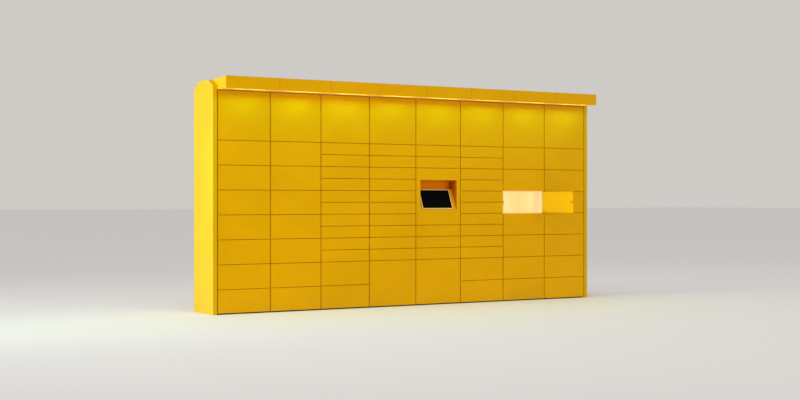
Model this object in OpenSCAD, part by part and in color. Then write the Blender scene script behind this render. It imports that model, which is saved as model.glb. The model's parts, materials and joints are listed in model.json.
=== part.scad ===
// Parcel locker: eight columns of hinged sheet-steel doors between two end
// panels, an illuminated canopy over the top row and one terminal bay.
//
// Frame: origin on the floor at the centre of the base, +X to the right along
// the front, the doors face -Y, +Z up.

/* [Cabinet] */
// Distance from one column seam to the next
column_pitch = 500; // [480:5:540]
// Height of one grid step: a small door is one step, a medium two, a large four
grid_step = 108; // [104:1:120]
// Depth from the door faces to the rear edges of the end panels
cabinet_depth = 440; // [430:5:600]
// Thickness of each hollow end panel
end_panel_t = 39; // [36:1:60]
// Height of the base frame, which is also the height of the lowest floor
base_h = 20; // [18:1:24]
// Thickness of the carcass and door sheet
sheet_t = 1.5; // [1.2:0.1:1.8]
// Distance from the door faces back to the mullions
mullion_set_back = 22; // [22:0.5:26]
// Depth of the front lip on each shelf
lip_h = 14; // [10:1:16]

/* [Doors] */
// Thickness of a door pan, front skin to liner
door_t = 14; // [13.5:0.5:14]
// Gap between two doors side by side
door_gap_x = 8; // [8:0.5:9]
// Gap between one door and the next above it
door_gap_z = 5; // [4:0.5:6]
// Gap between the lowest doors and the floor
floor_gap = 12; // [12:1:14]
// Angle at which the one open door stands
open_angle = 90; // [0:5:105]

/* [Hinges and locks] */
// Radius of the hinge pins
pin_r = 2.5; // [2:0.1:2.5]
// Radial running clearance of a pin in its bore
pin_clearance = 0.05; // [0.02:0.01:0.1]
// Distance from the door faces back to the hinge axis
pivot_back = 8.5; // [8:0.25:8.5]
// Distance from a door's right edge in to the hinge axis
pivot_in = 4.5; // [4.5:0.25:5]
// Travel of a lock bolt
bolt_travel = 8; // [6:0.5:8]

/* [Canopy] */
// Overhang of the canopy in front of the door faces
canopy_overhang = 195; // [170:5:260]
// Height of the fascia
fascia_h = 104; // [90:2:130]
// Fall of the canopy roof from front to back
roof_fall = 20; // [0:2:30]
// Length of one light bar
light_l = 340; // [200:10:420]

/* [Terminal] */
// Width of the terminal recess
recess_w = 408; // [380:2:408]
// Depth of the terminal recess behind the door faces
recess_d = 138; // [110:2:138]
// Height of the recess floor above the ground
recess_z0 = 905; // [880:5:930]
// Height of the recess opening
recess_h = 277; // [260:1:300]
// Width of the touch screen
screen_w = 324; // [280:1:330]
// Height of the touch screen, along its slope
screen_h = 185; // [150:1:186]

/* [Hidden] */
$fn = 48;
// welded and screwed neighbours in one group stand this far apart
seat = 0.1;
yellow = [0.88, 0.68, 0.02];
cream = [0.97, 0.93, 0.74];

// doors in each column, top to bottom, in grid steps; 5 is the terminal bay
GRID = [
    [4, 2, 2, 2, 2, 2, 2, 2],
    [4, 2, 2, 2, 2, 2, 2, 2],
    [4, 1, 1, 1, 1, 1, 1, 1, 1, 1, 1, 2, 2],
    [4, 1, 1, 1, 1, 1, 1, 1, 1, 1, 1, 4],
    [4, 1, 1, 5, 1, 1, 1, 4],
    [4, 1, 1, 1, 1, 1, 1, 1, 1, 1, 1, 2, 2],
    [4, 2, 2, 2, 2, 2, 2, 2],
    [4, 2, 2, 2, 2, 2, 2, 2]
];
COLS = len(GRID);
STEPS = 18;
term_c = 4;
term_i = 3;
open_c = 6;
open_i = 3;

function steps_above(c, i) = i == 0 ? 0 : GRID[c][i - 1] + steps_above(c, i - 1);
function line_z(c, i) = (STEPS - steps_above(c, i)) * grid_step;
function seam(i) = (i - COLS / 2) * column_pitch;
function leaf_z1(c, i) = line_z(c, i) - door_gap_z / 2;
function leaf_z0(c, i) = i == len(GRID[c]) - 1 ? floor_gap : line_z(c, i + 1) + door_gap_z / 2;
function leaf_zc(c, i) = (leaf_z0(c, i) + leaf_z1(c, i)) / 2;

half_w = COLS / 2 * column_pitch;
// inner faces of the end panels
end_x = half_w + door_gap_x / 2;
yf = -cabinet_depth / 2;
yb = cabinet_depth / 2;
ym = yf + mullion_set_back;
mullion_t = 2;
yc = ym + mullion_t;
yp = yb - 15;
top_z = STEPS * grid_step;
// a seam's two partition sheets stand this far left and right of it
part_l = 26;
part_r = 26;
leaf_w = column_pitch - door_gap_x;
pivot_y = yf + pivot_back;
function pivot_x(c) = seam(c) + column_pitch - door_gap_x / 2 - pivot_in;

// striker tongue and its lock
tongue_x = 8;
tongue_t = 3;
tongue_l = 30;
tongue_h = 20;
slot_x0 = tongue_x + door_gap_x / 2 - 3.5;
slot_x1 = tongue_x + door_gap_x / 2 + tongue_t + 4.5;
bolt_s = 8;
bolt_y = yf + door_t + 19;

// canopy
can_x = end_x - 1;
can_z0 = top_z + 5;
can_z1 = can_z0 + fascia_h;
can_y0 = yf - canopy_overhang;
can_y1 = yb - 78;
rear_roof_z = top_z + 42;
light_y0 = yf - 150;
light_w = 34;

// terminal
rec_x0 = seam(term_c) + 50;
rec_x1 = rec_x0 + recess_w;
rec_z1 = recess_z0 + recess_h;
tilt = 23.2;
slope_l = 205;
slope_y = yf + 7;
scr_x = (rec_x0 + rec_x1) / 2 - 7;

// ---------------------------------------------------------------- doors

// a folded pan with four returns and a bored hinge block in each right corner
module leaf_pan(w, h) {
    color(yellow) difference() {
        union() {
            difference() {
                cube([w, door_t, h]);
                translate([sheet_t, sheet_t, sheet_t])
                    cube([w - 2 * sheet_t, door_t, h - 2 * sheet_t]);
            }
            for (z = [sheet_t, h - sheet_t - 10])
                translate([w - pivot_in - 9, sheet_t, z])
                    cube([pivot_in + 9 - sheet_t, door_t - 2 * sheet_t - 2, 10]);
        }
        for (z = [-1, h - sheet_t - 11])
            translate([w - pivot_in, pivot_back, z])
                cylinder(r = pin_r + pin_clearance, h = sheet_t + 12);
    }
}

// the flat inner liner that closes the pan
module leaf_liner(w, h) {
    color(yellow) translate([sheet_t + 0.3, door_t - 1.5, sheet_t + 0.3])
        cube([w - 2 * sheet_t - 0.6, 1.5, h - 2 * sheet_t - 0.6]);
}

// the striker tongue on the liner, with the hole the lock bolt enters
module leaf_tongue(h) {
    color("silver") translate([tongue_x, door_t + seat, h / 2]) difference() {
        translate([0, 0, -tongue_h / 2]) cube([tongue_t, tongue_l, tongue_h]);
        translate([-1, 19 - 5, -5]) cube([tongue_t + 2, 10, 10]);
    }
}

module door(c, i) {
    h = leaf_z1(c, i) - leaf_z0(c, i);
    translate([seam(c) + door_gap_x / 2, yf, leaf_z0(c, i)]) {
        leaf_pan(leaf_w, h);
        leaf_liner(leaf_w, h);
        leaf_tongue(h);
    }
}

module open_door(c, i) {
    translate([pivot_x(c), pivot_y, 0]) rotate([0, 0, open_angle])
        translate([-pivot_x(c), -pivot_y, 0]) door(c, i);
}

// every door below the top one, the bottom one too unless stop is given
module door_bank(c, stop = 0) {
    for (i = [1:len(GRID[c]) - 1 - stop]) if (GRID[c][i] != 5) door(c, i);
}

// ---------------------------------------------------------------- carcass

module rail_tube(l) {
    difference() {
        cube([l, 40, base_h]);
        translate([-1, 2, 2]) cube([l + 2, 36, base_h - 4]);
    }
}

module base_frame() {
    color([0.25, 0.25, 0.26]) {
        for (y = [ym + 4, yp - 40])
            translate([-end_x, y, 0]) rail_tube(2 * end_x);
        for (i = [0:COLS]) {
            x = i == 0 ? seam(0) : i == COLS ? seam(COLS) - 40 : seam(i) - 20;
            translate([x + 40, ym + 44 + seat, 0]) rotate([0, 0, 90])
                rail_tube(yp - 40 - ym - 44 - 2 * seat);
        }
    }
}

module bottom_panels() {
    color(cream) for (c = [0:COLS - 1])
        translate([seam(c) + part_r, yc, base_h])
            cube([column_pitch - part_l - part_r, yp - yc, sheet_t]);
}

// rear sheets; behind the terminal bay a square cut-out takes the cable gland
module back_panels() {
    z1 = rear_roof_z;
    gx = gland_x - 20;
    gz = gland_z - 20;
    color(yellow) for (c = [0:COLS - 1]) {
        x0 = c == 0 ? 0.5 - end_x : seam(c) + 1;
        x1 = c == COLS - 1 ? end_x - 0.5 : seam(c + 1) - 1;
        if (c != term_c)
            translate([x0, yp, 2]) cube([x1 - x0, sheet_t, z1 - 2]);
        else {
            translate([x0, yp, 2]) cube([x1 - x0, sheet_t, gz - 2]);
            translate([x0, yp, gz + 40]) cube([x1 - x0, sheet_t, z1 - gz - 40]);
            translate([x0, yp, gz + seat]) cube([gx - x0, sheet_t, 40 - 2 * seat]);
            translate([gx + 40, yp, gz + seat]) cube([x1 - gx - 40, sheet_t, 40 - 2 * seat]);
        }
    }
}

module partition_sheets() {
    color(cream) for (i = [0:COLS]) {
        if (i > 0) translate([seam(i) - part_l, yc, base_h])
            cube([sheet_t, yp - yc, top_z - base_h]);
        if (i < COLS) translate([seam(i) + part_r - sheet_t, yc, base_h])
            cube([sheet_t, yp - yc, top_z - base_h]);
    }
}

// front plate of each partition, slotted for the striker tongues
module mullions() {
    color(cream) for (i = [0:COLS]) {
        x0 = i == 0 ? 0.5 - end_x : seam(i) - part_l;
        x1 = i == COLS ? end_x - 0.5 : seam(i) + part_r;
        difference() {
            translate([x0, ym, base_h]) cube([x1 - x0, mullion_t, top_z - base_h]);
            if (i < COLS) for (k = [0:len(GRID[i]) - 1])
                translate([seam(i) + slot_x0, ym - 1, leaf_zc(i, k) - 14])
                    cube([slot_x1 - slot_x0, mullion_t + 2, 28]);
        }
    }
}

module front_rails() {
    color(cream) for (c = [0:COLS - 1]) for (i = [0:len(GRID[c])]) {
        z = line_z(c, i);
        z0 = i == 0 ? top_z - lip_h : i == len(GRID[c]) ? base_h : z - lip_h / 2;
        translate([seam(c) + part_r, ym, z0])
            cube([column_pitch - part_l - part_r, mullion_t, i == len(GRID[c]) ? 8 : lip_h]);
    }
}

module shelves() {
    color(cream) for (c = [0:COLS - 1]) for (i = [1:len(GRID[c]) - 1])
        translate([seam(c) + part_r, yc, line_z(c, i) - sheet_t / 2])
            cube([column_pitch - part_l - part_r, yp - yc, sheet_t]);
}

module compartment_tops() {
    color(cream) for (c = [0:COLS - 1])
        translate([seam(c) + 0.5, yc, top_z]) cube([column_pitch - 1, yp - yc, sheet_t]);
}

// side view of an end panel: full height, a chamfered front corner and a step
// down at the rear
module end_outline(o) {
    polygon([
        [yf + o, o], [yb - o, o], [yb - o, top_z + 51 - o], [yb - 77 - o, top_z + 51 - o],
        [yb - 77 - o, top_z + 92 - o], [yf + 106 + o / 2, top_z + 92 - o], [yf + o, top_z + 34 - o / 2]
    ]);
}

// a hollow pan of sheet, open towards the columns
module end_panel(side) {
    color(yellow) translate([side < 0 ? -end_x - end_panel_t : end_x, 0, 0])
        difference() {
            rotate([90, 0, 90]) linear_extrude(end_panel_t) end_outline(0);
            translate([side < 0 ? sheet_t : -1, 0, 0])
                rotate([90, 0, 90]) linear_extrude(end_panel_t - sheet_t + 1)
                    end_outline(sheet_t);
        }
}

module end_panel_left() { end_panel(-1); }
module end_panel_right() { end_panel(1); }

module rear_roof_panel() {
    color(yellow) translate([-can_x, can_y1 - 12, rear_roof_z])
        cube([2 * can_x, yb - can_y1 + 12, sheet_t]);
}

// ---------------------------------------------------------------- canopy

module canopy_roof() {
    zr = can_z1 - roof_fall;
    color(yellow) {
        translate([-can_x, 0, 0]) rotate([90, 0, 90])
            linear_extrude(2 * can_x)
                polygon([[can_y0, can_z1 - 2], [can_y1, zr - 2], [can_y1, zr], [can_y0, can_z1]]);
        translate([-can_x, can_y1 - 2, rear_roof_z + sheet_t])
            cube([2 * can_x, 2, zr - 2 - seat - rear_roof_z - sheet_t]);
    }
}

module canopy_fascia() {
    color(yellow) for (c = [0:COLS - 1]) {
        x0 = c == 0 ? -can_x : seam(c) + 1;
        x1 = c == COLS - 1 ? can_x : seam(c + 1) - 1;
        translate([x0, can_y0, can_z0 - 2]) cube([x1 - x0, 2, fascia_h - 0.5]);
    }
}

module canopy_soffit() {
    color([0.98, 0.86, 0.5]) difference() {
        translate([2 - can_x, can_y0 + 2, can_z0 - 2])
            cube([2 * (can_x - 2), -can_y0 + ym - 4, 2]);
        for (c = [0:COLS - 1])
            translate([seam(c) + (column_pitch - light_l) / 2 - 1, light_y0 - 1, can_z0 - 3])
                cube([light_l + 2, light_w + 2, 4]);
    }
}

module canopy_end_caps() {
    color(yellow) for (x = [-can_x, can_x - 2])
        translate([x, 0, 0]) rotate([90, 0, 90]) linear_extrude(2)
            polygon([
                [can_y0 + 2, can_z0 - 2], [yf + 20, can_z0 - 2], [can_y1 - 2, rear_roof_z + 4],
                [can_y1 - 2, can_z1 - roof_fall - 2.2], [can_y0 + 2, can_z1 - 2.2]
            ]);
}

module canopy_brackets() {
    color("silver") for (i = [0:COLS]) {
        x = i == 0 ? -half_w + 16 : i == COLS ? half_w - 19 : seam(i) - 1.5;
        translate([x, 0, 0]) rotate([90, 0, 90]) linear_extrude(3)
            polygon([
                [can_y0 + 4, can_z0 + 1], [can_y1 - 16, can_z0 + 1],
                [can_y1 - 16, can_z1 - roof_fall - 4], [can_y0 + 4, can_z1 - 4]
            ]);
    }
}

// an inverted channel over each slot in the soffit
module light_housings() {
    color("silver") for (c = [0:COLS - 1])
        translate([seam(c) + (column_pitch - light_l) / 2, light_y0, can_z0 - 2])
            difference() {
                cube([light_l, light_w, 22]);
                translate([2, 2, -1]) cube([light_l - 4, light_w - 4, 21]);
            }
}

module light_diffusers() {
    color([1, 1, 0.95]) for (c = [0:COLS - 1])
        translate([seam(c) + (column_pitch - light_l) / 2 + 2.5, light_y0 + 2.5, can_z0 + 8])
            cube([light_l - 5, light_w - 5, 3]);
}

// ---------------------------------------------------------------- hinges, locks

// one plate in each gap between doors, with a pin up and down into their bores
module hinge_plates() {
    t = 2;
    reach = door_gap_z / 2 + 8;
    color("silver") for (c = [0:COLS - 1]) for (i = [0:len(GRID[c])]) {
        last = i == len(GRID[c]);
        z = last ? floor_gap - door_gap_z / 2 : line_z(c, i);
        p0 = last ? 0 : -reach;
        p1 = i == 0 ? 0 : reach;
        translate([pivot_x(c), pivot_y, z]) union() {
            translate([-5, -4, -t / 2]) cube([pivot_in + 4, ym - pivot_y + 4, t]);
            translate([0, 0, p0]) cylinder(r = pin_r, h = p1 - p0);
        }
    }
}

// a lock case behind each mullion, slotted for the tongue and bored square for the bolt
module lock_bodies() {
    color([0.2, 0.2, 0.22]) for (c = [0:COLS - 1]) for (i = [0:len(GRID[c]) - 1])
        translate([seam(c), 0, leaf_zc(c, i)]) difference() {
            translate([-9, yc + 1, -14]) cube([32, 48, 28]);
            translate([slot_x0, yc, -12.5]) cube([slot_x1 - slot_x0, 30, 25]);
            translate([-10, bolt_y - 4.5, -4.5]) cube([slot_x0 + 11, 9, 9]);
        }
}

module lock_bolts() {
    color("gainsboro") for (c = [0:COLS - 1]) for (i = [0:len(GRID[c]) - 1])
        translate([seam(c) - 8, bolt_y - bolt_s / 2, leaf_zc(c, i) - bolt_s / 2])
            cube([15, bolt_s, bolt_s]);
}

module door_buffers() {
    color([0.1, 0.1, 0.1]) for (c = [0:COLS - 1]) for (i = [0:len(GRID[c]) - 1])
        translate([seam(c) + 21.5, ym, leaf_zc(c, i) - 28]) rotate([90, 0, 0])
            cylinder(r = 4, h = mullion_set_back - door_t - 0.5, $fn = 24);
}

// ---------------------------------------------------------------- terminal

module terminal_panel() {
    x0 = seam(term_c) + door_gap_x / 2;
    z0 = leaf_z0(term_c, term_i);
    h = leaf_z1(term_c, term_i) - z0;
    translate([x0, yf, z0]) {
        difference() {
            leaf_pan(leaf_w, h);
            translate([rec_x0 - x0, -1, recess_z0 - z0]) cube([recess_w, door_t + 2, recess_h]);
        }
        difference() {
            leaf_liner(leaf_w, h);
            translate([rec_x0 - x0 - 2, -1, recess_z0 - z0 - 2])
                cube([recess_w + 4, door_t + 2, recess_h + 4]);
        }
        leaf_tongue(h);
    }
}

// the five walls of the recess, behind the panel's skin
module terminal_housing() {
    y0 = yf + sheet_t;
    d = recess_d - sheet_t;
    color([0.80, 0.45, 0.02]) {
        for (x = [rec_x0 - 1.5, rec_x1])
            translate([x, y0, recess_z0 + seat]) cube([1.5, d, recess_h - 2 * seat]);
        for (z = [recess_z0 - 1.5, rec_z1])
            translate([rec_x0 - 1.5, y0, z]) cube([recess_w + 3, d, 1.5]);
        translate([rec_x0 + seat, y0 + d - 1.5, recess_z0 + seat])
            cube([recess_w - 2 * seat, 1.5, recess_h - 2 * seat]);
    }
}

module on_slope() {
    translate([scr_x, slope_y, recess_z0 + 1]) rotate([-tilt, 0, 0]) children();
}

// the sloping plate the screen sits on, and the ledge behind its top edge
module screen_carrier() {
    ly = slope_y + slope_l * sin(tilt);
    lz = recess_z0 + 1 + slope_l * cos(tilt);
    color(yellow) {
        translate([rec_x0 + 0.5, 0, 0]) rotate([90, 0, 90]) linear_extrude(recess_w - 1)
            polygon([
                [slope_y, recess_z0 + 1], [slope_y + 2, recess_z0 + 1],
                [ly + 2, lz], [ly, lz]
            ]);
        translate([rec_x0 + 0.5, ly, lz + seat])
            cube([recess_w - 1, yf + recess_d - 2 - ly, 2]);
    }
}

module screen_bezel() {
    color([0.78, 0.76, 0.70]) on_slope() difference() {
        translate([-screen_w / 2 - 8, -8, 0.8]) cube([screen_w + 16, 7.8, screen_h + 16]);
        translate([-screen_w / 2, -9, 8.8]) cube([screen_w, 10, screen_h]);
    }
}

module screen_glass() {
    color([0.03, 0.03, 0.03]) on_slope()
        translate([-screen_w / 2 + 0.3, -7.1, 9.1]) cube([screen_w - 0.6, 6.8, screen_h - 0.6]);
}

module display_module() {
    color([0.3, 0.3, 0.32]) on_slope()
        translate([-screen_w / 2 - 2, 2.6, 12]) cube([screen_w + 4, 22, screen_h - 8]);
}

// ---------------------------------------------------------------- services

gland_x = seam(term_c) + 120;
gland_z = 800;

module controller_box() {
    color([0.6, 0.62, 0.65]) translate([seam(term_c) + 60, yp - 62, 900]) difference() {
        cube([210, 60, 260]);
        translate([2, 2, 2]) cube([206, 56, 256]);
    }
}

module power_supply() {
    color("silver") translate([seam(term_c) + 300, yp - 52, 900]) difference() {
        cube([130, 50, 200]);
        translate([1.5, 1.5, 1.5]) cube([127, 47, 197]);
    }
}

// a flanged gland over the cut-out, bored for the supply cable
module cable_gland() {
    color([0.12, 0.12, 0.12]) translate([gland_x, yp + sheet_t, gland_z]) difference() {
        union() {
            translate([-32, 0, -32]) cube([64, 3, 64]);
            rotate([-90, 0, 0]) cylinder(r = 13, h = 13);
            translate([0, -14, 0]) rotate([-90, 0, 0]) cylinder(r = 13, h = 15);
        }
        translate([0, -20, 0]) rotate([-90, 0, 0]) cylinder(r = 6.5, h = 40);
    }
}

module cable_duct() {
    color([0.75, 0.75, 0.76]) translate([-half_w + 40, can_y1 + 8, top_z + sheet_t + 1])
        difference() {
            cube([2 * half_w - 80, 44, 34]);
            translate([2, 2, 2]) cube([2 * half_w - 84, 40, 30]);
        }
}

// two angle brackets on the rear roof strip, drilled for wall bolts
module wall_brackets() {
    color("silver") for (s = [-1, 1])
        translate([s * 1750 - 30, 0, rear_roof_z + sheet_t]) difference() {
            union() {
                translate([0, yb - 4, 0]) cube([60, 4, 46]);
                translate([0, yb - 50, 0]) cube([60, 47, 4]);
            }
            translate([30, yb - 5, 25]) rotate([-90, 0, 0]) cylinder(r = 4.5, h = 6);
        }
}

// button-head screws round the rear sheets
module panel_screws() {
    color("silver") for (c = [0:COLS - 1])
        for (x = [seam(c) + 14, seam(c + 1) - 14])
            for (z = [40, 500, 1000, 1500, top_z + 10])
                translate([x, yp + sheet_t, z]) rotate([-90, 0, 0])
                    cylinder(r = 5, h = 2.5, $fn = 24);
}

// ---------------------------------------------------------------- drawing

base_frame();
bottom_panels();
back_panels();
partition_sheets();
mullions();
front_rails();
shelves();
compartment_tops();
end_panel_left();
end_panel_right();
rear_roof_panel();
canopy_roof();
canopy_fascia();
canopy_soffit();
canopy_end_caps();
canopy_brackets();
light_housings();
light_diffusers();
hinge_plates();
lock_bodies();
lock_bolts();
door_buffers();
terminal_panel();
terminal_housing();
screen_carrier();
screen_bezel();
screen_glass();
display_module();
controller_box();
power_supply();
cable_gland();
cable_duct();
wall_brackets();
panel_screws();
door(0, 0);  // door_c1_top
door(1, 0);  // door_c2_top
door(2, 0);  // door_c3_top
door(3, 0);  // door_c4_top
door(4, 0);  // door_c5_top
door(5, 0);  // door_c6_top
door(6, 0);  // door_c7_top
door(7, 0);  // door_c8_top
door(3, 11);  // door_c4_bottom
door(4, 7);  // door_c5_bottom
door(6, 1);  // door_c7_m1
door(6, 2);  // door_c7_m2
open_door(open_c, open_i);  // door_c7_open
door(6, 4);  // door_c7_m4
door(6, 5);  // door_c7_m5
door(6, 6);  // door_c7_m6
door(6, 7);  // door_c7_m7
door_bank(0);  // doors_c1
door_bank(1);  // doors_c2
door_bank(2);  // doors_c3
door_bank(3, 1);  // doors_c4
door_bank(4, 1);  // doors_c5
door_bank(5);  // doors_c6
door_bank(7);  // doors_c8
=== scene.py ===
import json
import math

import bmesh
import bpy
from mathutils import Matrix, Vector


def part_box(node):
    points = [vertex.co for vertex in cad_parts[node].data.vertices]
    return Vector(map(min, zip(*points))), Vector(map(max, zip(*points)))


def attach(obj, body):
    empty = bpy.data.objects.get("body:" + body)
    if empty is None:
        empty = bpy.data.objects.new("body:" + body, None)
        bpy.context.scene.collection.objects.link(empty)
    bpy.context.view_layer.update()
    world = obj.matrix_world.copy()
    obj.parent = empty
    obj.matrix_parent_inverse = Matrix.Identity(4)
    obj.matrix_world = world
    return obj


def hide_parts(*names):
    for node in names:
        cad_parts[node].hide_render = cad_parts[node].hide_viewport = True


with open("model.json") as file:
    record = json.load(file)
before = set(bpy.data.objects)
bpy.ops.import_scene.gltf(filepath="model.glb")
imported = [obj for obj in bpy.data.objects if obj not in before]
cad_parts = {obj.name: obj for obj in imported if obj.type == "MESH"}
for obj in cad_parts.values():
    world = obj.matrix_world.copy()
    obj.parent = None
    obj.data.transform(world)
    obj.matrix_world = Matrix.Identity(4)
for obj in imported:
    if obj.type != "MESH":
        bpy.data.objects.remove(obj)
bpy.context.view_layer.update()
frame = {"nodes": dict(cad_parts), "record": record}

NODES = frame["nodes"]
RECORD = frame["record"]


# ------------------------------------------------------------------ camera

def make_camera():
    data = bpy.data.cameras.new("camera")
    cam = bpy.data.objects.new("camera", data)
    bpy.context.scene.collection.objects.link(cam)
    data.sensor_width = 36.0
    data.lens = 58.5
    data.clip_start, data.clip_end = 0.05, 200
    a = math.radians(30.49)
    cam.location = (-6.3356, -10.6852, 0.9931)
    look = Vector((math.sin(a), math.cos(a), 0.0))
    cam.rotation_mode = "QUATERNION"
    cam.rotation_quaternion = look.to_track_quat("-Z", "Y")
    bpy.context.scene.camera = cam
    return cam


make_camera()


# ------------------------------------------------------------------ node helpers

def srgb(r, g, b):
    def lin(c):
        c /= 255.0
        return c / 12.92 if c <= 0.04045 else ((c + 0.055) / 1.055) ** 2.4
    return (lin(r), lin(g), lin(b), 1.0)


class Tree:
    """A material's node tree, built with short calls."""

    def __init__(self, name):
        self.mat = bpy.data.materials.new(name)
        self.mat.use_nodes = True
        self.t = self.mat.node_tree
        self.t.nodes.clear()
        self.out = self.t.nodes.new("ShaderNodeOutputMaterial")
        self.bsdf = self.t.nodes.new("ShaderNodeBsdfPrincipled")
        self.link(self.bsdf.outputs[0], self.out.inputs["Surface"])
        self.coord = self.t.nodes.new("ShaderNodeTexCoord").outputs["Object"]

    def link(self, a, b):
        self.t.links.new(a, b)

    def set(self, **kw):
        for k, v in kw.items():
            self.bsdf.inputs[k.replace("_", " ")].default_value = v

    def stretch(self, scale):
        n = self.t.nodes.new("ShaderNodeMapping")
        n.inputs["Scale"].default_value = scale
        self.link(self.coord, n.inputs["Vector"])
        return n.outputs[0]

    def noise(self, scale, detail=2.0, rough=0.5, at=None):
        n = self.t.nodes.new("ShaderNodeTexNoise")
        n.inputs["Scale"].default_value = scale
        n.inputs["Detail"].default_value = detail
        n.inputs["Roughness"].default_value = rough
        self.link(at or self.coord, n.inputs["Vector"])
        return n.outputs["Fac"]

    def voronoi(self, scale, feature="F1"):
        n = self.t.nodes.new("ShaderNodeTexVoronoi")
        n.feature = feature
        n.inputs["Scale"].default_value = scale
        self.link(self.coord, n.inputs["Vector"])
        return n.outputs["Distance"]

    def remap(self, value, a, b, lo, hi):
        n = self.t.nodes.new("ShaderNodeMapRange")
        n.clamp = True
        self.link(value, n.inputs["Value"])
        for k, v in (("From Min", a), ("From Max", b), ("To Min", lo), ("To Max", hi)):
            n.inputs[k].default_value = v
        return n.outputs[0]

    def math(self, op, a, b=None):
        n = self.t.nodes.new("ShaderNodeMath")
        n.operation = op
        for i, v in enumerate((a, b)):
            if v is None:
                continue
            if isinstance(v, (int, float)):
                n.inputs[i].default_value = v
            else:
                self.link(v, n.inputs[i])
        return n.outputs[0]

    def mix(self, fac, a, b, blend="MIX"):
        n = self.t.nodes.new("ShaderNodeMix")
        n.data_type = "RGBA"
        n.blend_type = blend
        for sock, v in ((n.inputs["Factor"], fac), (n.inputs["A"], a), (n.inputs["B"], b)):
            pass
        sockets = [s for s in n.inputs if s.enabled]
        for s, v in zip(sockets, (fac, a, b)):
            if isinstance(v, (int, float, tuple)):
                s.default_value = v
            else:
                self.link(v, s)
        return [s for s in n.outputs if s.enabled][0]

    def axis(self, which):
        n = self.t.nodes.new("ShaderNodeSeparateXYZ")
        self.link(self.coord, n.inputs[0])
        return n.outputs[which]

    def island(self):
        return self.t.nodes.new("ShaderNodeNewGeometry").outputs["Random Per Island"]

    def bump(self, height, strength, distance):
        n = self.t.nodes.new("ShaderNodeBump")
        n.inputs["Strength"].default_value = strength
        n.inputs["Distance"].default_value = distance
        self.link(height, n.inputs["Height"])
        self.link(n.outputs[0], self.bsdf.inputs["Normal"])


GOLD = (1.0, 0.74, 0.04, 1.0)


def powder_coat(name, base, rough=0.40, grime=0.5, spread=0.03, gloss=(1.0, 1.0, 1.0, 1.0), level=0.5, other=None, split=None, glow=0.0):
    """Sprayed and baked paint: orange peel, slow drift in tone, a little dust low down and scuffs."""
    m = Tree(name)
    dark = tuple(c * (1 - 3 * spread) for c in base[:3]) + (1.0,)
    light = tuple(min(1.0, c * (1 + 2 * spread)) for c in base[:3]) + (1.0,)
    drift = m.noise(1.7, 3.0)
    col = m.mix(m.remap(drift, 0.3, 0.7, 0.0, 1.0), dark, light)
    if other is not None:
        # a sheet sprayed in one colour outside (behind the split) and another inside
        col = m.mix(m.remap(m.axis("Y"), split - 0.00002, split + 0.00002, 0.0, 1.0), other, col)
    each = m.remap(m.island(), 0.0, 1.0, 0.965, 1.0)
    n = m.t.nodes.new("ShaderNodeHueSaturation")
    m.link(each, n.inputs["Value"])
    m.link(col, n.inputs["Color"])
    col = n.outputs[0]
    # dust that settles towards the floor, broken up by noise
    low = m.remap(m.axis("Z"), 0.0, 0.22, 1.0, 0.0)
    spots = m.remap(m.noise(9.0, 5.0, 0.65), 0.42, 0.72, 0.0, 1.0)
    dust = m.math("MULTIPLY", m.math("MULTIPLY", low, spots), 0.28 * grime)
    col = m.mix(dust, col, srgb(120, 104, 80))
    # hairline scuffs
    scuff = m.remap(m.noise(60.0, 6.0, 0.7, at=m.stretch((0.25, 1.0, 1.0))), 0.66, 0.74, 0.0, 0.10 * grime)
    col = m.mix(scuff, col, light)
    m.link(col, m.bsdf.inputs["Base Color"])
    r = m.remap(m.noise(14.0, 4.0, 0.6), 0.3, 0.7, rough - 0.05, rough + 0.08)
    m.link(m.math("ADD", r, m.math("MULTIPLY", dust, 0.8)), m.bsdf.inputs["Roughness"])
    m.set(Specular_IOR_Level=level, Specular_Tint=gloss)
    if glow:
        # painted light: the compartment walls glow faintly and evenly in their own colour, standing in for the light
        # they pass between each other
        m.set(Emission_Color=(1.0, 0.86, 0.56, 1.0))
        if other is None:
            m.set(Emission_Strength=glow)
        else:
            m.link(m.remap(m.axis("Y"), split - 0.00002, split + 0.00002, glow, 0.0), m.bsdf.inputs["Emission Strength"])
    peel = m.noise(420.0, 2.0, 0.5)
    fine = m.noise(1500.0, 1.0, 0.5)
    m.bump(m.math("ADD", peel, m.math("MULTIPLY", fine, 0.35)), 0.16, 0.0006)
    return m.mat


def zinc(name, base=(0.62, 0.64, 0.66, 1.0), rough=0.34):
    """Zinc-plated steel: metallic with a faint crystalline mottle."""
    m = Tree(name)
    cells = m.voronoi(180.0)
    tone = m.remap(cells, 0.0, 0.9, 0.0, 1.0)
    col = m.mix(tone, tuple(c * 0.82 for c in base[:3]) + (1.0,), base)
    m.link(col, m.bsdf.inputs["Base Color"])
    m.set(Metallic=1.0)
    m.link(m.remap(m.noise(90.0, 4.0), 0.3, 0.7, rough - 0.06, rough + 0.14), m.bsdf.inputs["Roughness"])
    m.bump(m.noise(700.0, 2.0), 0.08, 0.0003)
    return m.mat


def plastic(name, base, rough=0.5, grain=900.0, depth=0.0004):
    m = Tree(name)
    dark = tuple(c * 0.86 for c in base[:3]) + (1.0,)
    m.link(m.mix(m.remap(m.noise(4.0, 3.0), 0.3, 0.7, 0.0, 1.0), dark, base), m.bsdf.inputs["Base Color"])
    m.link(m.remap(m.noise(40.0, 3.0), 0.3, 0.7, rough - 0.06, rough + 0.08), m.bsdf.inputs["Roughness"])
    m.bump(m.noise(grain, 2.0), 0.25, depth)
    return m.mat


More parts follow.
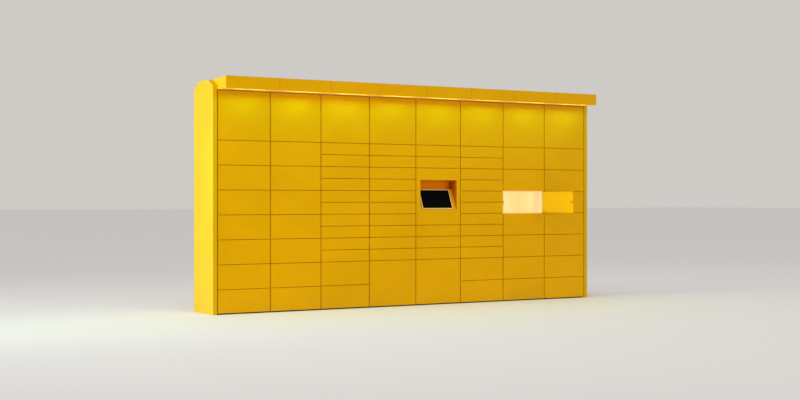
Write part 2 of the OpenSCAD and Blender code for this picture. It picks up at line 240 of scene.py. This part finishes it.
def brushed(name, base, rough=0.3, metal=1.0):
    m = Tree(name)
    streak = m.noise(500.0, 3.0, at=m.stretch((0.02, 1.0, 1.0)))
    m.link(m.mix(m.remap(streak, 0.3, 0.7, 0.0, 1.0), tuple(c * 0.85 for c in base[:3]) + (1.0,), base),
           m.bsdf.inputs["Base Color"])
    m.set(Metallic=metal)
    m.link(m.remap(streak, 0.3, 0.7, rough - 0.06, rough + 0.10), m.bsdf.inputs["Roughness"])
    m.bump(streak, 0.05, 0.0002)
    return m.mat


def screen(name):
    """Black cover glass with faint wiping smears in its gloss."""
    m = Tree(name)
    m.set(Specular_IOR_Level=0.0)
    smear = m.noise(9.0, 5.0, 0.6, at=m.stretch((1.0, 1.0, 0.35)))
    m.link(m.remap(smear, 0.45, 0.75, 0.07, 0.20), m.bsdf.inputs["Roughness"])
    # the printed black border round the live area
    gen = m.t.nodes.new("ShaderNodeTexCoord").outputs["Generated"]
    sep = m.t.nodes.new("ShaderNodeSeparateXYZ")
    m.link(gen, sep.inputs[0])
    inside = 1.0
    for out, edge in (("X", 0.035), ("Z", 0.06)):
        far = m.math("ABSOLUTE", m.math("SUBTRACT", sep.outputs[out], 0.5))
        near = m.remap(far, 0.5 - edge - 0.002, 0.5 - edge, 1.0, 0.0)
        inside = near if inside == 1.0 else m.math("MULTIPLY", inside, near)
    m.link(m.mix(inside, (0.0015, 0.0015, 0.0016, 1.0), (0.0035, 0.0036, 0.0042, 1.0)), m.bsdf.inputs["Base Color"])
    return m.mat


def diffuser(name, strength):
    """Opal strip, brightest over its LEDs."""
    m = Tree(name)
    m.set(Base_Color=(0.95, 0.94, 0.88, 1.0), Roughness=0.45, Emission_Color=(1.0, 0.64, 0.24, 1.0))
    wave = m.t.nodes.new("ShaderNodeTexWave")
    wave.bands_direction = "X"
    wave.inputs["Scale"].default_value = 9.5
    m.link(m.coord, wave.inputs["Vector"])
    m.link(m.remap(wave.outputs["Fac"], 0.0, 1.0, strength * 0.92, strength), m.bsdf.inputs["Emission Strength"])
    m.bump(m.noise(300.0, 2.0), 0.1, 0.0003)
    return m.mat


def soffit_painted_glow(name, base, glow):
    """The canopy's underside: painted sheet with a painted glow that stands in for the light bars' wash, strongest
    along their line and the front edge.
    """
    mat = powder_coat(name, base, rough=0.5, grime=0.2, gloss=GOLD, level=0.3)
    t = mat.node_tree
    bsdf = next(n for n in t.nodes if n.type == "BSDF_PRINCIPLED")
    co = t.nodes.new("ShaderNodeTexCoord")
    sep = t.nodes.new("ShaderNodeSeparateXYZ")
    t.links.new(co.outputs["Object"], sep.inputs[0])
    # painted light: emission that rises towards the front of the underside
    ramp = t.nodes.new("ShaderNodeMapRange")
    ramp.interpolation_type = "SMOOTHSTEP"
    ramp.inputs["From Min"].default_value = -0.250
    ramp.inputs["From Max"].default_value = -0.340
    ramp.inputs["To Min"].default_value = 0.0
    ramp.inputs["To Max"].default_value = glow
    t.links.new(sep.outputs["Y"], ramp.inputs["Value"])
    t.links.new(ramp.outputs[0], bsdf.inputs["Emission Strength"])
    bsdf.inputs["Emission Color"].default_value = (1.0, 0.50, 0.10, 1.0)
    return mat


def flange_painted_glow(mat):
    """Painted light: the flanges round the open compartment glow on their edges, standing in for the compartment's
    light falling on them.
    """
    t = mat.node_tree
    bsdf = next(n for n in t.nodes if n.type == "BSDF_PRINCIPLED")
    co = t.nodes.new("ShaderNodeTexCoord")
    sep = t.nodes.new("ShaderNodeSeparateXYZ")
    t.links.new(co.outputs["Object"], sep.inputs[0])
    lo, hi = next(o["box_m"] for o in RECORD["physics"]["openings"] if o["name"] == "compartment_c7_4")
    mask = None
    for out, a, b in (("X", lo[0] - 0.019, hi[0] + 0.023), ("Z", lo[2] - 0.006, hi[2] + 0.006)):
        off = t.nodes.new("ShaderNodeMath")
        off.operation = "SUBTRACT"
        t.links.new(sep.outputs[out], off.inputs[0])
        off.inputs[1].default_value = (a + b) / 2
        size = t.nodes.new("ShaderNodeMath")
        size.operation = "ABSOLUTE"
        t.links.new(off.outputs[0], size.inputs[0])
        ramp = t.nodes.new("ShaderNodeMapRange")
        ramp.inputs["From Min"].default_value = (b - a) / 2 + 0.002
        ramp.inputs["From Max"].default_value = (b - a) / 2
        ramp.inputs["To Max"].default_value = 0.5 if mask is None else 1.0
        t.links.new(size.outputs[0], ramp.inputs["Value"])
        if mask is None:
            mask = ramp.outputs[0]
        else:
            both = t.nodes.new("ShaderNodeMath")
            both.operation = "MULTIPLY"
            t.links.new(mask, both.inputs[0])
            t.links.new(ramp.outputs[0], both.inputs[1])
            mask = both.outputs[0]
    t.links.new(mask, bsdf.inputs["Emission Strength"])
    bsdf.inputs["Emission Color"].default_value = (1.0, 0.86, 0.50, 1.0)
    return mat


def shaded_sides(mat, lo, hi, side):
    """Painted shade: the recess's two side walls are given a darker colour than its back, for the shade that falls on
    them.
    """
    t = mat.node_tree
    bsdf = next(n for n in t.nodes if n.type == "BSDF_PRINCIPLED")
    co = t.nodes.new("ShaderNodeTexCoord")
    sep = t.nodes.new("ShaderNodeSeparateXYZ")
    t.links.new(co.outputs["Object"], sep.inputs[0])
    off = t.nodes.new("ShaderNodeMath")
    off.operation = "SUBTRACT"
    t.links.new(sep.outputs["X"], off.inputs[0])
    off.inputs[1].default_value = (lo + hi) / 2
    size = t.nodes.new("ShaderNodeMath")
    size.operation = "ABSOLUTE"
    t.links.new(off.outputs[0], size.inputs[0])
    ramp = t.nodes.new("ShaderNodeMapRange")
    ramp.inputs["From Min"].default_value = (hi - lo) / 2 - 0.0030
    ramp.inputs["From Max"].default_value = (hi - lo) / 2 - 0.0024
    t.links.new(size.outputs[0], ramp.inputs["Value"])
    mix = t.nodes.new("ShaderNodeMix")
    mix.data_type = "RGBA"
    a, b = [i for i in mix.inputs if i.type == "RGBA"][:2]
    old = bsdf.inputs["Base Color"].links[0].from_socket
    t.links.new(ramp.outputs[0], next(i for i in mix.inputs if i.name == "Factor" and i.type == "VALUE"))
    t.links.new(old, a)
    b.default_value = side
    t.links.new(next(o for o in mix.outputs if o.type == "RGBA"), bsdf.inputs["Base Color"])
    return mat


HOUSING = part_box("terminal_housing")
BACK_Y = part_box("back_panels")[0][1]
YELLOW = (0.815, 0.408, 0.0006, 1.0)
CREAM = (0.93, 0.80, 0.50, 1.0)
PAINT = dict(gloss=GOLD, level=0.42, spread=0.016)
M = {
    "yellow_paint": powder_coat("paint_yellow", YELLOW, **PAINT),
    # the back sheets' inner side and the cream compartment walls carry a faint painted glow
    "rear_sheet": powder_coat("paint_yellow_rear", YELLOW, other=CREAM, split=BACK_Y + 0.00075, glow=0.165, **PAINT),
    "interior_paint": powder_coat("paint_cream", CREAM, rough=0.45, grime=0.35, spread=0.012, gloss=(1.0, 0.95, 0.8, 1.0), level=0.3, glow=0.165),
    # the flanges, with a painted glow on their edges round the open compartment
    "flange_paint": flange_painted_glow(powder_coat("paint_flange", (0.74, 0.36, 0.002, 1.0), rough=0.45, grime=0.35, gloss=GOLD, level=0.3)),
    # painted light: a more lemon copy of the yellow for the end panels and canopy end caps, for the light that falls on
    # the sides
    "side_paint_painted_light": powder_coat("paint_yellow_sides_painted_light", (0.75, 0.428, 0.002, 1.0), **PAINT),
    # terminal recess: the yellow deepened to amber as painted shade, its side walls darker still as painted shade
    "housing_shell": shaded_sides(powder_coat("paint_amber_shell", (0.95, 0.31, 0.001, 1.0), rough=0.5, grime=0.3, gloss=GOLD, level=0.3),
                                  HOUSING[0][0], HOUSING[1][0], (0.52, 0.11, 0.001, 1.0)),
    "hinge_paint": powder_coat("paint_hinges", (0.60, 0.29, 0.002, 1.0), rough=0.5, grime=0.5, gloss=GOLD, level=0.3),
    "housing_paint": powder_coat("paint_lamp_housing", (0.86, 0.20, 0.07, 1.0), rough=0.6, grime=0.1, gloss=GOLD, level=0.2),
    # the canopy's underside, with a painted glow towards its front
    "soffit_paint": soffit_painted_glow("paint_soffit_painted_glow", (0.80, 0.40, 0.04, 1.0), 0.42),
    "frame_paint": powder_coat("paint_graphite", srgb(48, 48, 50), rough=0.55, grime=0.8, spread=0.06),
    # amber: the yellow deepened as painted shade for the recess
    "recess_paint": powder_coat("paint_amber", (0.93, 0.29, 0.001, 1.0), rough=0.5, grime=0.3, gloss=GOLD, level=0.3),
    "zinc_steel": zinc("zinc_steel"),
    "aluminium_case": brushed("aluminium_case", (0.72, 0.73, 0.74, 1.0)),
    "light_diffuser": diffuser("opal_diffuser", 1.2),
    "black_plastic": plastic("black_plastic", srgb(34, 34, 36)),
    "buffer_rubber": plastic("buffer_rubber", srgb(206, 190, 140), rough=0.6, grain=500.0),
    "bezel_metal": brushed("bezel_metal", (1.0, 0.78, 0.30, 1.0), rough=0.5, metal=0.35),
    "screen_glass": screen("screen_glass"),
    "grey_enclosure": plastic("grey_enclosure", srgb(160, 164, 170), rough=0.5, grain=350.0, depth=0.0008),
    "grey_plastic": plastic("grey_plastic", srgb(176, 178, 180), rough=0.5),
}
# nodes whose finish is a variant of their slot's paint; for some the variant holds painted light, painted shade or a
# painted glow
OWN = {"back_panels": "rear_sheet", "mullions": "flange_paint", "front_rails": "flange_paint", "light_housings": "housing_paint",
       "hinge_plates": "hinge_paint", "terminal_housing": "housing_shell", "lock_bodies": "zinc_steel", "end_panel_left": "side_paint_painted_light", "end_panel_right": "side_paint_painted_light", "canopy_end_caps": "side_paint_painted_light"}
SLOT = {s["node"]: s["material_slot"] for s in RECORD["subparts"]}


# ------------------------------------------------------------------ CAD nodes

def soften(o, width, segments=2, angle=35):
    """Rounds the folded edges of a sheet part: the sheets are welded at their corners, so the vertices are too."""
    w = o.modifiers.new("weld", "WELD")
    w.merge_threshold = 2e-5
    b = o.modifiers.new("bevel", "BEVEL")
    b.limit_method = "ANGLE"
    b.angle_limit = math.radians(angle)
    b.width = width
    b.segments = segments
    b.use_clamp_overlap = True
    b.harden_normals = False
    for p in o.data.polygons:
        p.use_smooth = False


WIDTH = {"end_panel_left": 0.0025, "end_panel_right": 0.0025, "canopy_fascia": 0.0009,
         "canopy_end_caps": 0.0009, "canopy_roof": 0.0008, "screen_bezel": 0.0012,
         "screen_glass": 0.0006, "cable_gland": 0.0008, "door_buffers": 0.001,
         "controller_box": 0.004, "power_supply": 0.0015, "lock_bodies": 0.001,
         "wall_brackets": 0.001, "base_frame": 0.003, "cable_duct": 0.002,
         "light_diffusers": 0.001, "display_module": 0.002, "terminal_housing": 0.0006}
for name, o in NODES.items():
    o.data.materials.clear()
    o.data.materials.append(M[OWN.get(name, SLOT[name])])
    w = WIDTH.get(name)
    if w is None:
        w = 0.0011 if name.startswith("door") or name == "terminal_panel" else 0.0005
    soften(o, w, 3 if w > 0.001 else 2)


# ------------------------------------------------------------------ made pieces

def new_piece(name, bm, material, body, smooth=False):
    bmesh.ops.recalc_face_normals(bm, faces=bm.faces)
    me = bpy.data.meshes.new(name)
    bm.to_mesh(me)
    bm.free()
    me.materials.append(M[material])
    for p in me.polygons:
        p.use_smooth = smooth
    o = bpy.data.objects.new(name, me)
    bpy.context.scene.collection.objects.link(o)
    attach(o, body)
    return o


def ring(bm, r, y, n=24):
    return [bm.verts.new((r * math.cos(2 * math.pi * i / n), y, r * math.sin(2 * math.pi * i / n))) for i in range(n)]


def lathe(bm, profile, n, sides=None):
    """Turns (radius, y) points round Y. sides is not used."""
    rings = []
    for r, y in profile:
        rings.append(ring(bm, r, y, n))
    for a, b in zip(rings, rings[1:]):
        for i in range(n):
            bm.faces.new((a[i], a[(i + 1) % n], b[(i + 1) % n], b[i]))
    bm.faces.new(rings[0])
    bm.faces.new(list(reversed(rings[-1])))
    return rings


def screw_mesh():
    """A button head with a domed top and a hexagon socket, lying on y = 0 and standing towards +Y."""
    bm = bmesh.new()
    n = 24
    outer = [(0.0050, 0.0000), (0.0050, 0.0006), (0.0046, 0.0014), (0.0038, 0.0021), (0.0027, 0.0025)]
    rings = [ring(bm, r, y, n) for r, y in outer]
    hexa, floor = [], []
    for i in range(n):
        t = 2 * math.pi * i / n
        k = math.cos(math.pi / 6) / math.cos((t % (math.pi / 3)) - math.pi / 6)
        hexa.append(bm.verts.new((0.0019 * k * math.cos(t), 0.0025, 0.0019 * k * math.sin(t))))
        floor.append(bm.verts.new((0.0019 * k * math.cos(t), 0.0009, 0.0019 * k * math.sin(t))))
    rings += [hexa, floor]
    for a, b in zip(rings, rings[1:]):
        for i in range(n):
            bm.faces.new((a[i], a[(i + 1) % n], b[(i + 1) % n], b[i]))
    bm.faces.new(rings[0])
    bm.faces.new(list(reversed(rings[-1])))
    return bm


def islands(o):
    """The box of each separate solid of a CAD node, as (low, high)."""
    bm = bmesh.new()
    bm.from_mesh(o.data)
    bmesh.ops.remove_doubles(bm, verts=bm.verts, dist=1e-5)
    seen, out = set(), []
    bm.verts.ensure_lookup_table()
    for v in bm.verts:
        if v.index in seen:
            continue
        stack, pts = [v], []
        seen.add(v.index)
        while stack:
            u = stack.pop()
            pts.append(u.co.copy())
            for e in u.link_edges:
                x = e.other_vert(u)
                if x.index not in seen:
                    seen.add(x.index)
                    stack.append(x)
        out.append((Vector([min(p[k] for p in pts) for k in range(3)]),
                    Vector([max(p[k] for p in pts) for k in range(3)])))
    bm.free()
    return sorted(out, key=lambda b: (round(b[0].x, 4), round(b[0].z, 4)))


def panel_screws():
    bm = bmesh.new()
    base = screw_mesh()
    me = bpy.data.meshes.new("one_screw")
    base.to_mesh(me)
    base.free()
    for k, (lo, hi) in enumerate(islands(NODES["panel_screws"])):
        c = (lo + hi) / 2
        start = len(bm.verts)
        bm.from_mesh(me)
        bm.verts.ensure_lookup_table()
        new = bm.verts[start:]
        bmesh.ops.transform(bm, verts=new, matrix=Matrix.Translation((c.x, lo.y, c.z)) @ Matrix.Rotation(k * 0.7, 4, "Y"))
    bpy.data.meshes.remove(me)
    o = new_piece("rear_button_screws", bm, "zinc_steel", "cabinet")
    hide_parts("panel_screws")


panel_screws()


def closed_lathe(bm, profile, n, at=(0, 0, 0)):
    """Turns a closed outline round Y. Each outline point is (radius at an angle, y)."""
    rings = []
    for r, y in profile:
        row = []
        for i in range(n):
            t = 2 * math.pi * i / n
            q = r(t) if callable(r) else r
            row.append(bm.verts.new((at[0] + q * math.cos(t), at[1] + y, at[2] + q * math.sin(t))))
        rings.append(row)
    for k in range(len(rings)):
        a, b = rings[k], rings[(k + 1) % len(rings)]
        for i in range(n):
            bm.faces.new((a[i], a[(i + 1) % n], b[(i + 1) % n], b[i]))


def hexagon(r):
    return lambda t: r * math.cos(math.pi / 6) / math.cos((t % (math.pi / 3)) - math.pi / 6)


def knurled(r, depth, count):
    return lambda t: r - depth * (0.5 + 0.5 * math.cos(count * t)) ** 2


def round_square(half, corner):
    def radius(t):
        c, s = abs(math.cos(t)), abs(math.sin(t))
        k = half - corner
        # where the ray meets a side, or else the corner's arc
        q = half / max(c, s)
        if min(c, s) * q > k:
            b = k * (c + s)
            q = b + math.sqrt(max(0.0, b * b - 2 * k * k + corner * corner))
        return q
    return radius


def gland():
    """Flange with four screws, hexagon nut, knurled dome nut and its rubber seal round an open bore."""
    lo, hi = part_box("cable_gland")
    bore = next(m for m in RECORD["mounts"] if m["name"] == "cable_entry")
    x, z = bore["pos_m"][0], bore["pos_m"][2]
    y0 = BACK_Y + 0.0015
    end = hi[1] - y0
    n = 96
    bm = bmesh.new()
    sq = round_square(0.032, 0.006)
    sq_in = round_square(0.0313, 0.006)
    closed_lathe(bm, [(sq, 0.0), (sq, 0.0023), (sq_in, 0.003), (0.0128, 0.003), (0.0128, 0.0)], n, (x, y0, z))
    new_piece("gland_flange", bm, "black_plastic", "cabinet")
    bm = bmesh.new()
    r = 0.0065
    closed_lathe(bm, [
        (0.0127, lo[1] - y0), (0.0127, 0.0034), (hexagon(0.0150), 0.0034), (hexagon(0.0150), 0.0062), (hexagon(0.0144), 0.0066),
        (0.0122, 0.0066), (0.0122, 0.0072), (knurled(0.0130, 0.0008, 16), 0.0074), (knurled(0.0128, 0.0008, 16), end - 0.0026),
        (0.0112, end - 0.0006), (0.0098, end), (0.0090, end), (0.0086, end - 0.0012), (r, end - 0.0012), (r, lo[1] - y0)],
        n, (x, y0, z))
    new_piece("gland_body", bm, "black_plastic", "cabinet", smooth=False)
    bm = bmesh.new()
    base = screw_mesh()
    me = bpy.data.meshes.new("one_screw")
    base.to_mesh(me)
    base.free()
    for k, (sx, sz) in enumerate(((-1, -1), (1, -1), (1, 1), (-1, 1))):
        start = len(bm.verts)
        bm.from_mesh(me)
        bm.verts.ensure_lookup_table()
        bmesh.ops.transform(bm, verts=bm.verts[start:], matrix=Matrix.Translation((x + sx * 0.0245, y0 + 0.003, z + sz * 0.0245))
                            @ Matrix.Rotation(0.4 + k, 4, "Y") @ Matrix.Scale(0.72, 4))
    bpy.data.meshes.remove(me)
    screws = new_piece("gland_screws", bm, "zinc_steel", "cabinet")
    for o in (bpy.data.objects["gland_flange"], bpy.data.objects["gland_body"], screws):
        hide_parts("cable_gland")


gland()


def diffusers():
    """Each light bar's opal lens: fluted along its length underneath, with a plain cap at both ends."""
    bm = bmesh.new()
    flutes, cap = 10, 0.003
    for lo, hi in islands(NODES["light_diffusers"]):
        pts = []
        steps = flutes * 6
        for i in range(steps + 1):
            u = i / steps
            wave = 0.0006 * abs(math.sin(math.pi * flutes * u))
            pts.append((lo.y + (hi.y - lo.y) * u, lo.z + 0.0006 - wave))
        xs = (lo.x + cap, hi.x - cap)
        bottom = [[bm.verts.new((x, y, z)) for y, z in pts] for x in xs]
        top = [[bm.verts.new((x, y, hi.z)) for y, z in pts] for x in xs]
        for i in range(steps):
            bm.faces.new((bottom[0][i], bottom[0][i + 1], bottom[1][i + 1], bottom[1][i]))
            bm.faces.new((top[0][i], top[1][i], top[1][i + 1], top[0][i + 1]))
            for k in (0, 1):
                q = (bottom[k][i], bottom[k][i + 1], top[k][i + 1], top[k][i])
                bm.faces.new(q if k else tuple(reversed(q)))
        for i in (0, steps):
            q = (bottom[0][i], top[0][i], top[1][i], bottom[1][i])
            bm.faces.new(q if i == 0 else tuple(reversed(q)))
        for x0, x1 in ((lo.x, lo.x + cap - 0.0001), (hi.x - cap + 0.0001, hi.x)):
            start = len(bm.verts)
            bmesh.ops.create_cube(bm, size=1.0)
            bm.verts.ensure_lookup_table()
            vs = bm.verts[start:]
            size = Vector((x1 - x0, hi.y - lo.y, hi.z - lo.z))
            mid = Vector(((x0 + x1) / 2, (lo.y + hi.y) / 2, (lo.z + hi.z) / 2))
            bmesh.ops.transform(bm, verts=vs, matrix=Matrix.Translation(mid) @ Matrix.Diagonal((*size, 1.0)))
    o = new_piece("opal_light_lenses", bm, "light_diffuser", "cabinet")
    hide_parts("light_diffusers")


diffusers()


def rivet_mesh():
    bm = bmesh.new()
    lathe(bm, [(0.0034, 0.0), (0.0034, 0.0003), (0.0031, 0.0008), (0.0023, 0.0011), (0.0012, 0.0012), (0.0010, 0.0008)], 16)
    me = bpy.data.meshes.new("one_rivet")
    bm.to_mesh(me)
    bm.free()
    return me


def liner_rivets():
    """Blind rivets that hold each door's liner, on its inner face."""
    one = rivet_mesh()
    for name, o in sorted(NODES.items()):
        if not name.startswith("door") or name == "door_buffers":
            continue
        opened = name == "door_c7_open"
        bm = bmesh.new()
        for lo, hi in islands(o):
            d = hi - lo
            thin, wide = (d.x, d.y) if opened else (d.y, d.x)
            if thin > 0.002 or wide < 0.3:
                continue
            along = "y" if opened else "x"
            a0, a1 = getattr(lo, along) + 0.009, getattr(hi, along) - 0.028
            z0, z1 = lo.z + 0.009, hi.z - 0.009
            if opened:
                # the free edge is at the low end
                a0, a1 = lo.y + 0.009, hi.y - 0.028
            tall = max(1, round((z1 - z0) / 0.2))
            spots = [(a0 + (a1 - a0) * i / 3, z) for i in range(4) for z in (z0, z1)]
            spots += [(a, z0 + (z1 - z0) * j / tall) for j in range(1, tall) for a in (a0, a1)]
            for a, z in spots:
                start = len(bm.verts)
                bm.from_mesh(one)
                bm.verts.ensure_lookup_table()
                if opened:
                    m = Matrix.Translation((lo.x, a, z)) @ Matrix.Rotation(math.pi / 2, 4, "Z")
                else:
                    m = Matrix.Translation((a, hi.y, z))
                bmesh.ops.transform(bm, verts=bm.verts[start:], matrix=m)
        body = next(b for b, row in RECORD["behaviour"]["bodies"].items() if name in row)
        new_piece(name + "_liner_rivets", bm, "yellow_paint", body)
    bpy.data.meshes.remove(one)


liner_rivets()


# ------------------------------------------------------------------ stage

def stage():
    bm = bmesh.new()
    s = 120.0
    vs = [bm.verts.new(p) for p in ((-s, -s, 0), (s, -s, 0), (s, s, 0), (-s, s, 0))]
    bm.faces.new(vs)
    me = bpy.data.meshes.new("floor")
    bm.to_mesh(me)
    bm.free()
    floor = bpy.data.objects.new("floor", me)
    bpy.context.scene.collection.objects.link(floor)
    m = Tree("floor_pale")
    m.set(Base_Color=srgb(242, 243, 245), Roughness=0.85)
    me.materials.append(m.mat)


stage()


def area(name, at, to, size, power, colour=(1, 1, 1), size_y=None):
    d = bpy.data.lights.new(name, "AREA")
    d.energy = power
    d.color = colour
    d.size = size
    if size_y:
        d.shape = "RECTANGLE"
        d.size_y = size_y
    o = bpy.data.objects.new(name, d)
    o.location = at
    o.rotation_mode = "QUATERNION"
    o.rotation_quaternion = (Vector(to) - Vector(at)).to_track_quat("-Z", "Y")
    bpy.context.scene.collection.objects.link(o)
    return o


world = bpy.data.worlds.new("world")
bpy.context.scene.world = world
world.use_nodes = True
world.node_tree.nodes["Background"].inputs["Color"].default_value = (1.0, 0.955, 0.905, 1.0)
world.node_tree.nodes["Background"].inputs["Strength"].default_value = 0.62

key = area("key_left", (-16.0, 0.7, 3.4), (-2.0, 0.1, 1.15), 3.2, 86.0, (0.82, 1.0, 0.94))
key.data.spread = math.radians(48)
key.visible_glossy = False
# a grazing strip from the left that reaches what stands out of the front, such as an open door
graze = area("graze_left", (-9.5, -1.15, 1.3), (1.4, -0.45, 1.1), 0.5, 18.5, (0.60, 1.0, 0.52))
graze.data.spread = math.radians(40)
graze.visible_glossy = False
fill = area("fill_front", (4.6, -15.8, 4.8), (0.0, 0.0, 1.0), 4.5, 54.0, (1.0, 0.95, 0.88))
fill.data.spread = math.radians(72)
fill.visible_glossy = False
area("top", (-4.0, -3.0, 7.0), (-0.6, 0.0, 0.6), 5.0, 110.0, (1.0, 0.99, 0.96)).visible_glossy = False

# the light bars' own light, inside their housings, and a small lamp for the open compartment
bars = islands(NODES["light_diffusers"])
for k, (lo, hi) in enumerate(bars):
    c = (lo + hi) / 2
    lamp = area("bar_lamp_%d" % (k + 1), (c.x, c.y, lo.z - 0.0012), (c.x, c.y, 0.0), hi.x - lo.x - 0.01, 0.68,
                (0.22, 1.0, 0.14), size_y=hi.y - lo.y - 0.012)
    lamp.visible_camera = False
ops = {o["name"]: o["box_m"] for o in RECORD["physics"]["openings"]}
lo, hi = ops["compartment_c7_4"]
inner = area("compartment_lamp", ((lo[0] + hi[0]) / 2, lo[1] + 0.10, (lo[2] + hi[2]) / 2),
             ((lo[0] + hi[0]) / 2, hi[1], (lo[2] + hi[2]) / 2), 0.36, 0.19, (1.0, 0.92, 0.85), size_y=0.16)
inner.visible_camera = False

sc = bpy.context.scene
sc.view_settings.view_transform = "Standard"
sc.view_settings.look = "None"
sc.view_settings.exposure = 0.0
sc.view_settings.gamma = 1.0
